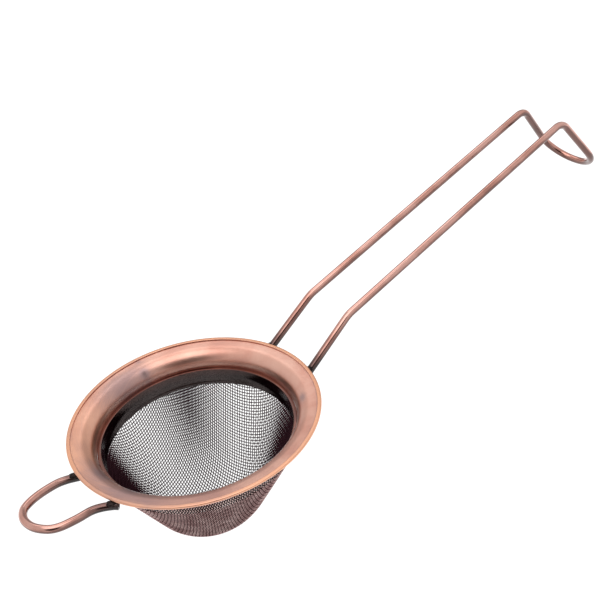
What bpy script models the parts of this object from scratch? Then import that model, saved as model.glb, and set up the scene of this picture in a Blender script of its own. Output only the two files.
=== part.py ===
"""Conical fine-mesh bar strainer, in metres, +Z up.

The origin is the centre of the rim, in the plane of its top edge. The handle
leaves along +X, the rest loop along -X, and the bowl hangs down along -Z.
"""

import math

import bmesh
import bpy
from mathutils import Matrix, Vector

MM = 0.001
GAP = 0.3 * MM            # air left between pieces that touch

# Rim: one spun sheet, hemmed at its outer edge
RIM_RADIUS = 44.45 * MM
SHEET = 0.5 * MM
HEM_WIDTH = 1.5 * MM
FLANGE_SLOPE = math.radians(4)
BELL_RADIUS = 5.3 * MM    # the curve from the flange down into the neck
NECK_RADIUS = 35.2 * MM   # inner face of the neck
NECK_BOTTOM = -9.0 * MM

# Cloth bowl: straight edge in the neck, then a cone, then a round tip
CLOTH = 0.4 * MM
CLOTH_RADIUS = NECK_RADIUS - GAP
CLOTH_TOP = -7.6 * MM
CONE_HALF_ANGLE = math.radians(31.2)
TIP_RADIUS = 24.8 * MM
TIP_CENTRE = -22.1 * MM
LEAN_FROM = -13.7 * MM    # the pressed cone leans a little towards the rest loop
LEAN = 0.0625

# Collar: the ring that holds the cloth's edge against the neck
COLLAR_WALL = 0.4 * MM
COLLAR_TOP = -6.85 * MM
COLLAR_BOTTOM = -13.3 * MM

# Handle: one wire, bent the same way on both sides of the XZ plane
WIRE_RADIUS = 1.45 * MM
RISER_SLOPE = math.radians(29.5)
LEG_SPREAD = 11.1 * MM    # half the distance between the legs at the rim
INNER_END = 36.8 * MM
LOW_BEND = Vector((64.9, 10.4, 0.0)) * MM
TOP_BEND = Vector((185.1, 9.8, 33.4)) * MM
HOOK_DROP = math.radians(55.7)
HOOK_LENGTH = 35.0 * MM
HOOK_SPREAD = 12.7 * MM
LOW_BEND_RADIUS = 12.0 * MM
TOP_BEND_RADIUS = 5.7 * MM
HOOK_BEND_RADIUS = 0.9 * HOOK_SPREAD

# Rest loop: the path of its wire, from the weld at the left, round the nose, to the right
LOOP_PATH = [(-41.8, 7.7), (-43.6, 8.6), (-46.6, 9.8), (-50.1, 10.4), (-55.6, 9.9),
             (-60.5, 8.6), (-64.4, 6.3), (-66.6, 2.0), (-66.3, -3.0), (-63.7, -7.2),
             (-60.2, -9.2), (-54.5, -9.8), (-49.0, -9.7), (-45.6, -10.7),
             (-42.5, -12.6), (-41.2, -13.9)]
LOOP_RISE = 0.105

# Weld beads in the corner between the rim's edge and the top of each wire
BEAD_SIZE = Vector((2.0, 1.8, 1.1)) * MM
BEAD_OUTSIDE = 0.85 * MM

STEPS = 60                # facets round the turned pieces
HEM_RADIUS = SHEET
EDGE_CENTRE = RIM_RADIUS - HEM_RADIUS
WIRE_CLEARANCE = HEM_RADIUS + GAP + WIRE_RADIUS


def clear_scene():
    for obj in list(bpy.data.objects):
        bpy.data.objects.remove(obj, do_unlink=True)


def new_collection(name):
    collection = bpy.data.collections.new(name)
    bpy.context.scene.collection.children.link(collection)
    return collection


def finish_material(name, colour, roughness, metallic):
    material = bpy.data.materials.new(name)
    material.use_nodes = True
    shader = material.node_tree.nodes["Principled BSDF"]
    shader.inputs["Base Color"].default_value = (*colour, 1.0)
    shader.inputs["Roughness"].default_value = roughness
    shader.inputs["Metallic"].default_value = metallic
    material.diffuse_color = (*colour, 1.0)
    return material


def add_object(name, data, collection, material=None):
    obj = bpy.data.objects.new(name, data)
    collection.objects.link(obj)
    if material:
        data.materials.append(material)
    return obj


def hide_cutter(obj):
    obj.hide_render = True
    obj.display_type = "WIRE"


def arc(centre, radius, start, end, count):
    """Points of an arc in the (radius, height) plane; angles in radians."""
    points = []
    for i in range(count + 1):
        angle = start + (end - start) * i / count
        points.append((centre[0] + radius * math.cos(angle),
                       centre[1] + radius * math.sin(angle)))
    return points


def turned(name, profile, collection, material=None, closed=True):
    """Turn a profile of (radius, height) points round Z with a Screw modifier."""
    mesh = bpy.data.meshes.new(name)
    edges = [(i, i + 1) for i in range(len(profile) - 1)]
    if closed:
        edges.append((len(profile) - 1, 0))
    mesh.from_pydata([(r, 0.0, z) for r, z in profile], edges, [])
    obj = add_object(name, mesh, collection, material)
    screw = obj.modifiers.new("turn", "SCREW")
    screw.axis = "Z"
    screw.steps = STEPS
    screw.render_steps = STEPS
    screw.use_merge_vertices = True
    screw.merge_threshold = 0.00002
    screw.use_smooth_shade = True
    return obj


def as_mesh(obj):
    """Swap an object for its evaluated mesh, with its ends welded."""
    bpy.context.view_layer.update()
    depsgraph = bpy.context.evaluated_depsgraph_get()
    mesh = bpy.data.meshes.new_from_object(obj.evaluated_get(depsgraph))
    name = obj.name
    collection = obj.users_collection[0]
    place = obj.matrix_world.copy()
    bpy.data.objects.remove(obj, do_unlink=True)
    work = bmesh.new()
    work.from_mesh(mesh)
    bmesh.ops.remove_doubles(work, verts=work.verts, dist=0.000001)
    work.to_mesh(mesh)
    work.free()
    mesh.name = name
    swapped = bpy.data.objects.new(name, mesh)
    swapped.matrix_world = place
    collection.objects.link(swapped)
    return swapped


def wire(name, points, radius, collection, material=None):
    curve = bpy.data.curves.new(name, "CURVE")
    curve.dimensions = "3D"
    curve.bevel_depth = radius
    curve.bevel_resolution = 3
    curve.use_fill_caps = True
    spline = curve.splines.new("POLY")
    spline.points.add(len(points) - 1)
    for point, position in zip(spline.points, points):
        point.co = (*position, 1.0)
    return add_object(name, curve, collection, material)


def rounded_path(corners, radii, degrees_per_point=14):
    """A polyline through the corners, with each inner corner turned into an arc."""
    points = [corners[0]]
    for before, corner, after, radius in zip(corners, corners[1:], corners[2:], radii):
        to_before = (before - corner).normalized()
        to_after = (after - corner).normalized()
        opening = to_before.angle(to_after)
        turn = math.pi - opening
        reach = radius / math.tan(opening / 2)
        middle = (to_before + to_after).normalized()
        centre = corner + middle * (radius / math.sin(opening / 2))
        first = corner + to_before * reach - centre
        last = corner + to_after * reach - centre
        count = max(3, math.ceil(math.degrees(turn) / degrees_per_point))
        for i in range(count + 1):
            share = i / count
            spoke = first * math.sin((1 - share) * turn) + last * math.sin(share * turn)
            points.append(centre + spoke / math.sin(turn))
    points.append(corners[-1])
    return points


def smooth_path(corners, per_span):
    """A Catmull-Rom curve through the corners."""
    padded = [corners[0] * 2 - corners[1], *corners, corners[-1] * 2 - corners[-2]]
    points = []
    for a, b, c, d in zip(padded, padded[1:], padded[2:], padded[3:]):
        for i in range(per_span):
            t = i / per_span
            points.append(0.5 * (2 * b + (c - a) * t + (2 * a - 5 * b + 4 * c - d) * t ** 2
                                 + (3 * b - a - 3 * c + d) * t ** 3))
    points.append(corners[-1])
    return points


def make_rim(parts, copper):
    """Spun sheet: neck, bell curve, shallow flange, and the edge folded back on top."""
    bell_start = NECK_RADIUS + BELL_RADIUS * (1 - math.sin(FLANGE_SLOPE))
    hem_inside = RIM_RADIUS - HEM_WIDTH
    flange_drop = (hem_inside - bell_start) * math.tan(FLANGE_SLOPE)
    bell_top = -SHEET - flange_drop
    centre = (NECK_RADIUS + BELL_RADIUS, bell_top - BELL_RADIUS * math.cos(FLANGE_SLOPE))
    flat = math.pi / 2 + FLANGE_SLOPE
    edge = (EDGE_CENTRE, -HEM_RADIUS)
    top_side = arc(centre, BELL_RADIUS, math.pi, flat, 7)
    under_side = arc(centre, BELL_RADIUS - SHEET, flat, math.pi, 7)
    profile = [(NECK_RADIUS, NECK_BOTTOM)]
    profile += top_side
    profile += [(hem_inside, -SHEET), (hem_inside, -0.3 * SHEET)]
    profile += [(hem_inside + 0.3 * SHEET, 0.0)]
    profile += arc(edge, HEM_RADIUS, math.pi / 2, -math.pi / 2, 6)
    profile += [(hem_inside, -2 * SHEET)]
    profile += under_side
    profile += [(NECK_RADIUS + SHEET, NECK_BOTTOM)]
    return turned("rim_flare", profile, parts, copper)


def cone_radius(height, inset=0.0):
    """Radius of the bowl's outside on its conical part, moved in by an inset."""
    tangent = TIP_RADIUS * math.cos(CONE_HALF_ANGLE)
    tangent_height = TIP_CENTRE - TIP_RADIUS * math.sin(CONE_HALF_ANGLE)
    outside = tangent + (height - tangent_height) * math.tan(CONE_HALF_ANGLE)
    return outside - inset / math.cos(CONE_HALF_ANGLE)


def cone_height(radius, inset=0.0):
    slope = math.tan(CONE_HALF_ANGLE)
    return (radius - cone_radius(0.0, inset)) / slope


def bowl_side(inset, count):
    """One face of the cloth, from its top edge down to the tip."""
    radius = CLOTH_RADIUS - inset
    turn_in = cone_height(radius, inset)
    points = [(radius, CLOTH_TOP), (radius, turn_in)]
    points += [(cone_radius(z, inset), z) for z in (LEAN_FROM, -24.0 * MM)]
    tip = arc((0.0, TIP_CENTRE), TIP_RADIUS - inset, -CONE_HALF_ANGLE, -math.pi / 2, count)
    points += tip[:-1]
    points.append((0.0, TIP_CENTRE - TIP_RADIUS + inset))
    return points


def make_bowl(parts, cloth):
    """Woven cloth as a thin shell; below the collar it leans towards the rest loop."""
    outside = bowl_side(0.0, 6)
    inside = bowl_side(CLOTH, 6)
    bowl = turned("mesh_bowl", inside[::-1] + outside, parts, cloth, closed=False)
    bowl = as_mesh(bowl)
    for vertex in bowl.data.vertices:
        depth = min(0.0, vertex.co.z - LEAN_FROM)
        vertex.co.x += depth * LEAN
    return bowl


def make_collar(parts, black):
    """Thin ring inside the neck: a turned-out lip on top, tapered in below with the cone."""
    outer = CLOTH_RADIUS - CLOTH - GAP
    inner = outer - COLLAR_WALL
    lip = NECK_RADIUS - GAP
    taper_from = cone_height(CLOTH_RADIUS - CLOTH, CLOTH)
    foot = cone_radius(COLLAR_BOTTOM, CLOTH + GAP)
    profile = [(inner, COLLAR_TOP - 0.15 * MM), (inner + 0.15 * MM, COLLAR_TOP)]
    profile += [(lip, COLLAR_TOP), (lip, COLLAR_TOP - COLLAR_WALL)]
    profile += [(outer, COLLAR_TOP - COLLAR_WALL), (outer, taper_from)]
    profile += [(foot, COLLAR_BOTTOM), (foot - COLLAR_WALL, COLLAR_BOTTOM)]
    profile += [(inner, taper_from)]
    return turned("inner_collar", profile, parts, black)


def riser_height(x):
    """Height of the handle wire's centre line on its way up from the rim."""
    at_rim = math.sqrt(EDGE_CENTRE ** 2 - LEG_SPREAD ** 2)
    under_edge = -HEM_RADIUS - WIRE_CLEARANCE / math.cos(RISER_SLOPE)
    return under_edge + (x - at_rim) * math.tan(RISER_SLOPE)


def make_handle(parts, copper):
    """Two legs and a hook from one wire, rounded at each bend."""
    reach = HOOK_LENGTH * Vector((math.cos(HOOK_DROP), 0.0, -math.sin(HOOK_DROP)))
    half = [Vector((INNER_END, LEG_SPREAD, riser_height(INNER_END)))]
    half.append(Vector((LOW_BEND.x, LOW_BEND.y, riser_height(LOW_BEND.x))))
    half.append(TOP_BEND)
    half.append(Vector((TOP_BEND.x + reach.x, HOOK_SPREAD, TOP_BEND.z + reach.z)))
    mirrored = [Vector((p.x, -p.y, p.z)) for p in reversed(half)]
    radii = [LOW_BEND_RADIUS, TOP_BEND_RADIUS, HOOK_BEND_RADIUS]
    path = rounded_path(half + mirrored, radii + radii[::-1])
    return wire("handle_wire", path, WIRE_RADIUS, parts, copper)


def loop_height(x):
    """Height of the loop wire's centre line: it just passes under the rim's edge."""
    return -HEM_RADIUS - WIRE_CLEARANCE - (x + EDGE_CENTRE) * LOOP_RISE


def make_loop(parts, copper):
    corners = [Vector((x * MM, y * MM, loop_height(x * MM))) for x, y in LOOP_PATH]
    return wire("rest_loop", smooth_path(corners, 4), WIRE_RADIUS, parts, copper)


def make_bead(name, crossing, along, parts, guides, burnt):
    """A saddle of weld metal on top of a wire, just outside the rim's edge."""
    outward = Vector((crossing.x, crossing.y, 0.0)).normalized()
    along = along.normalized()
    place = crossing + outward * (BEAD_OUTSIDE + HEM_RADIUS)
    run = (place - crossing).dot(along)
    place = crossing + along * run
    place.z += WIRE_RADIUS + GAP + 0.1 * MM
    mesh = bpy.data.meshes.new(name)
    work = bmesh.new()
    bmesh.ops.create_uvsphere(work, u_segments=16, v_segments=10, radius=1.0)
    bmesh.ops.scale(work, vec=BEAD_SIZE, verts=work.verts)
    turn = Matrix.Rotation(math.atan2(along.y, along.x), 4, "Z")
    bmesh.ops.transform(work, matrix=Matrix.Translation(place) @ turn, verts=work.verts)
    work.to_mesh(mesh)
    work.free()
    bead = add_object(name, mesh, parts, burnt)
    span = along * 8 * MM
    wire_space = as_mesh(wire(name + "_wire_space", [crossing - span, crossing + span],
                              WIRE_RADIUS + GAP, guides))
    for cutter in (wire_space, bpy.data.objects["rim_space"]):
        hide_cutter(cutter)
        cut = bead.modifiers.new("clear_" + cutter.name, "BOOLEAN")
        cut.operation = "DIFFERENCE"
        cut.solver = "EXACT"
        cut.object = cutter
    return bead


def make_beads(parts, guides, burnt):
    """Four welds: two where the legs cross the rim's edge and two on the loop."""
    edge = arc((EDGE_CENTRE, -HEM_RADIUS), HEM_RADIUS + GAP, math.pi / 2, -math.pi / 2, 8)
    inside = RIM_RADIUS - 4 * MM
    room = [(inside, edge[0][1]), *edge, (inside, edge[-1][1])]
    turned("rim_space", room, guides)
    leg_x = math.sqrt(EDGE_CENTRE ** 2 - LEG_SPREAD ** 2)
    taper = (LOW_BEND.y - LEG_SPREAD) / (LOW_BEND.x - leg_x)
    for side, word in ((1, "left"), (-1, "right")):
        crossing = Vector((leg_x, side * LEG_SPREAD, riser_height(leg_x)))
        along = Vector((1.0, side * taper, math.tan(RISER_SLOPE)))
        make_bead("weld_handle_" + word, crossing, along, parts, guides, burnt)
    for at, after, word in ((1, 2, "left"), (-2, -3, "right")):
        start = Vector(LOOP_PATH[at]) * MM
        heading = Vector(LOOP_PATH[after]) * MM - start
        crossing = Vector((start.x, start.y, loop_height(start.x)))
        along = Vector((heading.x, heading.y, -heading.x * LOOP_RISE))
        make_bead("weld_loop_" + word, crossing, along, parts, guides, burnt)


def main():
    clear_scene()
    parts = new_collection("conical_strainer")
    guides = new_collection("cutters")
    copper = finish_material("brushed_copper", (0.60, 0.30, 0.21), 0.32, 1.0)
    wire_copper = finish_material("wire_copper", (0.52, 0.25, 0.18), 0.3, 1.0)
    black = finish_material("black_oxide", (0.03, 0.027, 0.026), 0.2, 1.0)
    cloth = finish_material("wire_cloth", (0.12, 0.085, 0.075), 0.4, 1.0)
    burnt = finish_material("burnt_weld", (0.015, 0.013, 0.013), 0.5, 1.0)
    make_rim(parts, copper)
    make_collar(parts, black)
    make_bowl(parts, cloth)
    make_handle(parts, wire_copper)
    make_loop(parts, wire_copper)
    make_beads(parts, guides, burnt)


main()
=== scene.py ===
# %% [markdown]
# # A conical cocktail strainer in antique copper
#
# A bartender holds this over a glass to catch ice chips and pulp. It is made of very few
# pieces: a spun sheet rim, a cone of woven wire cloth held by a hidden collar, one long
# wire bent into a handle with a hook, and a short wire loop that rests on the glass's lip.
#
# Here each of those pieces is built around a fixed model of the strainer, so nothing has
# to be fitted afterwards. The finish is what sells it: copper plate that was blackened
# and then rubbed back, so that open faces shine and corners stay dark.

# %% Load the fixed model
import math

import bpy
import numpy as np
from mathutils import Matrix, Vector


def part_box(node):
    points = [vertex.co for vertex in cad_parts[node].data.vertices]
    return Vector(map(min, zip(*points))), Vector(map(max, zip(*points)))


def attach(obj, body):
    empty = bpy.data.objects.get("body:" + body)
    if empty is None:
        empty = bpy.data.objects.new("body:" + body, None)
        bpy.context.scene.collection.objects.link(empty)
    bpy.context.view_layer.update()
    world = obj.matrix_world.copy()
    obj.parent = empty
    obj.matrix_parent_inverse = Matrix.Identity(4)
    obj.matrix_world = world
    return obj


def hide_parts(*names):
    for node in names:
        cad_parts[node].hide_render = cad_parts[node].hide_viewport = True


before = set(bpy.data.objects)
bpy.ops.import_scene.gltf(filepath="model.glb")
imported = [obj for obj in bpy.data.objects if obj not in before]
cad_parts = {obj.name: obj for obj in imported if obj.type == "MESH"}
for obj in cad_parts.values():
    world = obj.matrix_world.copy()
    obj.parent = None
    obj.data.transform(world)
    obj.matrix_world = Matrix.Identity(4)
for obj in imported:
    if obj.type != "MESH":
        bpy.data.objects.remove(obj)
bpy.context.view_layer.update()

MM = 0.001
print("fixed model:", sorted(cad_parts))

# %% [markdown]
# ## The camera
#
# A short telephoto lens stands close to the strainer and a little above it. A lens of
# about 72 mm at 0.41 m gives the rim its strong, slightly tapered ellipse. The camera's
# own axes are worked out from three angles, which is easier to reason about than a
# quaternion: where it stands, how high, and how it is rolled.

# %% Place the camera
CAMERA_AZIMUTH = math.radians(34.84)
CAMERA_HEIGHT = math.radians(34.178)
CAMERA_ROLL = math.radians(10.402)
CAMERA_DISTANCE = 413.9 * MM
CAMERA_LENS = 72.4
CAMERA_AIM = Vector((45.78, -9.81, 26.66)) * MM


def camera_axes(azimuth, height, roll):
    """Right, up and backward axes of a camera that looks at the aim point."""
    back = Vector((-math.sin(azimuth) * math.cos(height),
                   -math.cos(azimuth) * math.cos(height), math.sin(height)))
    level = Vector((math.cos(azimuth), -math.sin(azimuth), 0.0))
    upright = back.cross(level)
    right = level * math.cos(roll) - upright * math.sin(roll)
    up = level * math.sin(roll) + upright * math.cos(roll)
    return right, up, back


right, up, back = camera_axes(CAMERA_AZIMUTH, CAMERA_HEIGHT, CAMERA_ROLL)
camera_data = bpy.data.cameras.new("studio_camera")
camera_data.lens = CAMERA_LENS
camera_data.sensor_width = 36.0
camera_data.clip_start = 0.01
camera = bpy.data.objects.new("studio_camera", camera_data)
bpy.context.scene.collection.objects.link(camera)
turn = Matrix((right, up, back)).transposed()
camera.matrix_world = Matrix.Translation(CAMERA_AIM + back * CAMERA_DISTANCE) @ turn.to_4x4()
bpy.context.scene.camera = camera
print("camera stands at", [round(x, 3) for x in camera.matrix_world.translation])

# %% [markdown]
# ## Small helpers for making meshes
#
# Two ways of making metal cover the whole object. Spinning a profile round the centre
# line gives the rim and the collar, just as a lathe does. Sweeping a ring along a path
# gives every wire. Both store a "lay" on each vertex: a soft coordinate that follows the
# direction in which the metal was rubbed. A texture that reads it has no seam.

# %% Mesh helpers
def mesh_object(name, points, faces, attributes=None):
    """A smooth mesh object from arrays, with named attributes on its vertices."""
    mesh = bpy.data.meshes.new(name)
    mesh.from_pydata(np.asarray(points).tolist(), [], faces)
    for key, values in (attributes or {}).items():
        values = np.asarray(values, np.float32)
        kind, field = ("FLOAT_VECTOR", "vector") if values.ndim == 2 else ("FLOAT", "value")
        mesh.attributes.new(key, kind, "POINT").data.foreach_set(field, values.ravel())
    mesh.shade_smooth()
    mesh.update()
    obj = bpy.data.objects.new(name, mesh)
    bpy.context.scene.collection.objects.link(obj)
    return obj


def unit(vectors):
    return vectors / np.linalg.norm(vectors, axis=-1, keepdims=True)


def ring_faces(rings, sides, closed_along):
    """Quads that join rings of points, with the last ring joined to the first if closed."""
    count = rings if closed_along else rings - 1
    i = np.arange(count)[:, None]
    j = np.arange(sides)[None, :]
    here = i * sides
    there = ((i + 1) % rings) * sides
    after = (j + 1) % sides
    quads = np.stack([here + j, here + after, there + after, there + j], -1)
    return quads.reshape(-1, 4)


def sweep(path, ups, radius, sides):
    """Points and faces of a round wire along a path; also each point's turn about the path."""
    path = np.asarray(path, float)
    tangent = unit(np.gradient(path, axis=0))
    side = unit(np.cross(tangent, ups))
    top = np.cross(side, tangent)
    angle = np.arange(sides) * 2 * math.pi / sides
    ring = (np.cos(angle)[None, :, None] * side[:, None]
            + np.sin(angle)[None, :, None] * top[:, None])
    points = path[:, None] + radius * ring
    quads = ring_faces(len(path), sides, False)
    last = (len(path) - 1) * sides
    caps = [list(range(sides - 1, -1, -1)), list(range(last, last + sides))]
    return points.reshape(-1, 3), quads, caps, angle


def path_length(path):
    """Distance along a path at each of its points."""
    steps = np.linalg.norm(np.diff(path, axis=0), axis=1)
    return np.concatenate([[0.0], np.cumsum(steps)])


def arc(centre, radius, start, end, count):
    """Points of an arc in the (radius, height) plane; angles in degrees."""
    turn = np.radians(np.linspace(start, end, count + 1))
    return np.stack([centre[0] + radius * np.cos(turn), centre[1] + radius * np.sin(turn)], -1)


print("helpers ready")

# %% [markdown]
# ## Rubbed and darkened metal, as node groups
#
# Every metal piece here went through the same bath and the same rubbing, so two effects
# are shared and become node groups. The first makes rubbing marks: noise that is
# stretched along the lay. The second mixes three layers by how sheltered a point is:
# bright copper on the open faces, a plum film where the rag only just reached, and
# black oxide in the corners. The same mix also carries painted shade: the shadow in the
# rim's crease and the darker sides of the wires. A group only puts out colours, masks and
# values; the Principled shader stays in each material, where its own constants are easy
# to find.

# %% Node helpers
def add_node(tree, kind, **settings):
    node = tree.nodes.new(kind)
    for key, value in settings.items():
        setattr(node, key, value)
    return node


def new_group(name, inputs, outputs):
    """A shader node group with named sockets; returns its tree, its input and its output."""
    tree = bpy.data.node_groups.new(name, "ShaderNodeTree")
    for label, kind, value in inputs:
        socket = tree.interface.new_socket(name=label, in_out="INPUT", socket_type=kind)
        if value is not None:
            socket.default_value = value
    for label, kind in outputs:
        tree.interface.new_socket(name=label, in_out="OUTPUT", socket_type=kind)
    return tree, tree.nodes.new("NodeGroupInput"), tree.nodes.new("NodeGroupOutput")


def use_group(tree, group, **values):
    node = tree.nodes.new("ShaderNodeGroup")
    node.node_tree = group
    for key, value in values.items():
        node.inputs[key].default_value = value
    return node


def math_node(tree, operation, first, second, clamp=False):
    """A Math node; each input is a number or another node's output."""
    node = add_node(tree, "ShaderNodeMath", operation=operation, use_clamp=clamp)
    for socket, value in zip(node.inputs, (first, second)):
        if isinstance(value, (int, float)):
            socket.default_value = value
        else:
            tree.links.new(value, socket)
    return node.outputs[0]


# %% Rubbing marks
def make_rub_marks():
    group, given, result = new_group(
        "rub_marks",
        [("Lay", "NodeSocketVector", None), ("Across", "NodeSocketFloat", 4000.0),
         ("Along", "NodeSocketFloat", 200.0), ("Patch", "NodeSocketFloat", 120.0)],
        [("Lines", "NodeSocketFloat"), ("Patches", "NodeSocketFloat")])
    across = add_node(group, "ShaderNodeCombineXYZ")
    group.links.new(given.outputs["Across"], across.inputs["X"])
    group.links.new(given.outputs["Across"], across.inputs["Y"])
    group.links.new(given.outputs["Along"], across.inputs["Z"])
    stretched = add_node(group, "ShaderNodeVectorMath", operation="MULTIPLY")
    group.links.new(given.outputs["Lay"], stretched.inputs[0])
    group.links.new(across.outputs[0], stretched.inputs[1])
    fine = add_node(group, "ShaderNodeTexNoise", noise_dimensions="3D")
    fine.inputs["Scale"].default_value = 1.0
    fine.inputs["Detail"].default_value = 3.0
    fine.inputs["Roughness"].default_value = 0.6
    group.links.new(stretched.outputs[0], fine.inputs["Vector"])
    group.links.new(fine.outputs[0], result.inputs["Lines"])
    place = add_node(group, "ShaderNodeTexCoord")
    broad = add_node(group, "ShaderNodeTexNoise", noise_dimensions="3D")
    broad.inputs["Detail"].default_value = 4.0
    broad.inputs["Roughness"].default_value = 0.55
    group.links.new(given.outputs["Patch"], broad.inputs["Scale"])
    group.links.new(place.outputs["Object"], broad.inputs["Vector"])
    group.links.new(broad.outputs[0], result.inputs["Patches"])
    return group


rub_marks = make_rub_marks()
print("group:", rub_marks.name)

# %% Copper, plum film and black oxide
def mix_colours(tree, factor, first, second):
    """A colour mix; every argument is another node's output."""
    node = add_node(tree, "ShaderNodeMix", data_type="RGBA")
    tree.links.new(factor, node.inputs["Factor"])
    tree.links.new(first, node.inputs["A"])
    tree.links.new(second, node.inputs["B"])
    return node.outputs["Result"]


def soft_step(tree, value, low, high):
    node = add_node(tree, "ShaderNodeMapRange", interpolation_type="SMOOTHSTEP")
    node.inputs["From Min"].default_value = low
    node.inputs["From Max"].default_value = high
    tree.links.new(value, node.inputs["Value"])
    return node.outputs[0]


def make_antique_layers():
    group, given, result = new_group(
        "antique_layers",
        [("Pale Copper", "NodeSocketColor", (0.74, 0.42, 0.32, 1.0)),
         ("Deep Copper", "NodeSocketColor", (0.62, 0.28, 0.20, 1.0)),
         ("Worn Copper", "NodeSocketColor", (0.85, 0.42, 0.25, 1.0)),
         ("Film", "NodeSocketColor", (0.32, 0.16, 0.15, 1.0)),
         ("Oxide", "NodeSocketColor", (0.025, 0.02, 0.02, 1.0)),
         ("Shelter And Shade", "NodeSocketFloat", 0.0), ("Wear And Warm Tint", "NodeSocketFloat", 0.0),
         ("Lines", "NodeSocketFloat", 0.5), ("Patches", "NodeSocketFloat", 0.5),
         ("Line Depth", "NodeSocketFloat", 0.2), ("Patch Depth", "NodeSocketFloat", 0.3),
         ("Gloss", "NodeSocketFloat", 0.25), ("Dullness", "NodeSocketFloat", 0.2)],
        [("Colour", "NodeSocketColor"), ("Roughness", "NodeSocketFloat")])
    given = given.outputs
    lines = math_node(group, "SUBTRACT", given["Lines"], 0.5)
    lines = math_node(group, "MULTIPLY", lines, given["Line Depth"])
    patches = math_node(group, "SUBTRACT", given["Patches"], 0.5)
    patches = math_node(group, "MULTIPLY", patches, given["Patch Depth"])
    uneven = math_node(group, "ADD", lines, patches)
    dark = math_node(group, "ADD", given["Shelter And Shade"], uneven, clamp=True)
    tone = soft_step(group, given["Patches"], 0.35, 0.65)
    copper = mix_colours(group, tone, given["Pale Copper"], given["Deep Copper"])
    copper = mix_colours(group, given["Wear And Warm Tint"], copper, given["Worn Copper"])
    filmed = mix_colours(group, soft_step(group, dark, 0.0, 0.5), copper, given["Film"])
    blackened = mix_colours(group, soft_step(group, dark, 0.45, 1.0), filmed, given["Oxide"])
    group.links.new(blackened, result.inputs["Colour"])
    dull = math_node(group, "MULTIPLY", dark, given["Dullness"])
    streak = math_node(group, "MULTIPLY", lines, 0.5)
    rough = math_node(group, "ADD", given["Gloss"], dull)
    rough = math_node(group, "ADD", rough, streak, clamp=True)
    group.links.new(rough, result.inputs["Roughness"])
    return group


antique_layers = make_antique_layers()
print("group:", antique_layers.name)

# %% A material from the two groups
LACQUER_ROUGHNESS = 0.1


def antique_metal(name, marks, layers, bump, lacquer=0.0, edge_tint=(1, 1, 1, 1)):
    """Metal with its own shader; the marks and layers come from the shared groups."""
    material = bpy.data.materials.new(name)
    material.use_nodes = True
    tree = material.node_tree
    shader = tree.nodes["Principled BSDF"]
    shader.inputs["Metallic"].default_value = 1.0
    shader.inputs["Coat Weight"].default_value = lacquer
    shader.inputs["Coat Roughness"].default_value = LACQUER_ROUGHNESS
    shader.inputs["Specular Tint"].default_value = edge_tint
    lay = add_node(tree, "ShaderNodeAttribute", attribute_name="lay")
    shelter_and_shade = add_node(tree, "ShaderNodeAttribute", attribute_name="shelter_and_shade")
    wear_and_warm_tint = add_node(tree, "ShaderNodeAttribute", attribute_name="wear_and_warm_tint")
    rubbed = use_group(tree, rub_marks, **marks)
    tree.links.new(lay.outputs["Vector"], rubbed.inputs["Lay"])
    mixed = use_group(tree, antique_layers, **layers)
    tree.links.new(shelter_and_shade.outputs["Fac"], mixed.inputs["Shelter And Shade"])
    tree.links.new(wear_and_warm_tint.outputs["Fac"], mixed.inputs["Wear And Warm Tint"])
    tree.links.new(rubbed.outputs["Lines"], mixed.inputs["Lines"])
    tree.links.new(rubbed.outputs["Patches"], mixed.inputs["Patches"])
    tree.links.new(mixed.outputs["Colour"], shader.inputs["Base Color"])
    tree.links.new(mixed.outputs["Roughness"], shader.inputs["Roughness"])
    relief = add_node(tree, "ShaderNodeBump")
    relief.inputs["Strength"].default_value = 1.0
    relief.inputs["Distance"].default_value = bump
    tree.links.new(rubbed.outputs["Lines"], relief.inputs["Height"])
    tree.links.new(relief.outputs["Normal"], shader.inputs["Normal"])
    return material


# The film and oxide colours below also serve as painted shade where the mask carries it: in the
# rim's crease and on the wires' sides.
rim_finish = antique_metal(
    "brushed_copper",
    marks={"Across": 2600.0, "Along": 260.0, "Patch": 60.0},
    layers={"Pale Copper": (0.75, 0.43, 0.335, 1), "Deep Copper": (0.66, 0.31, 0.23, 1),
            "Film": (0.40, 0.25, 0.235, 1),
            "Line Depth": 0.45, "Patch Depth": 0.5, "Gloss": 0.34, "Dullness": 0.1},
    bump=0.012 * MM, lacquer=0.5)
# This dark film colour also makes the painted shade on the wires' sides and undersides.
wire_finish = antique_metal(
    "wire_copper",
    marks={"Across": 1800.0, "Along": 120.0, "Patch": 60.0},
    layers={"Pale Copper": (0.66, 0.37, 0.31, 1), "Deep Copper": (0.56, 0.26, 0.20, 1),
            "Film": (0.17, 0.085, 0.072, 1),
            "Line Depth": 0.35, "Patch Depth": 0.7, "Gloss": 0.13, "Dullness": 0.1},
    bump=0.008 * MM, lacquer=0.5)
collar_finish = antique_metal(
    "black_oxide",
    marks={"Across": 1500.0, "Along": 150.0, "Patch": 120.0},
    layers={"Pale Copper": (0.20, 0.08, 0.06, 1), "Deep Copper": (0.16, 0.06, 0.045, 1),
            "Film": (0.10, 0.065, 0.06, 1), "Oxide": (0.075, 0.062, 0.06, 1),
            "Line Depth": 0.2, "Patch Depth": 0.4, "Gloss": 0.1, "Dullness": 0.06},
    bump=0.004 * MM, lacquer=0.5)
cloth_finish = antique_metal(
    "wire_cloth",
    marks={"Across": 3000.0, "Along": 600.0, "Patch": 160.0},
    layers={"Pale Copper": (0.85, 0.66, 0.62, 1), "Deep Copper": (0.62, 0.44, 0.41, 1),
            "Film": (0.10, 0.055, 0.055, 1), "Oxide": (0.040, 0.016, 0.022, 1),
            "Line Depth": 0.2, "Patch Depth": 0.5, "Gloss": 0.25, "Dullness": 0.1},
    bump=0.004 * MM, edge_tint=(0.36, 0.22, 0.26, 1))
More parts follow.
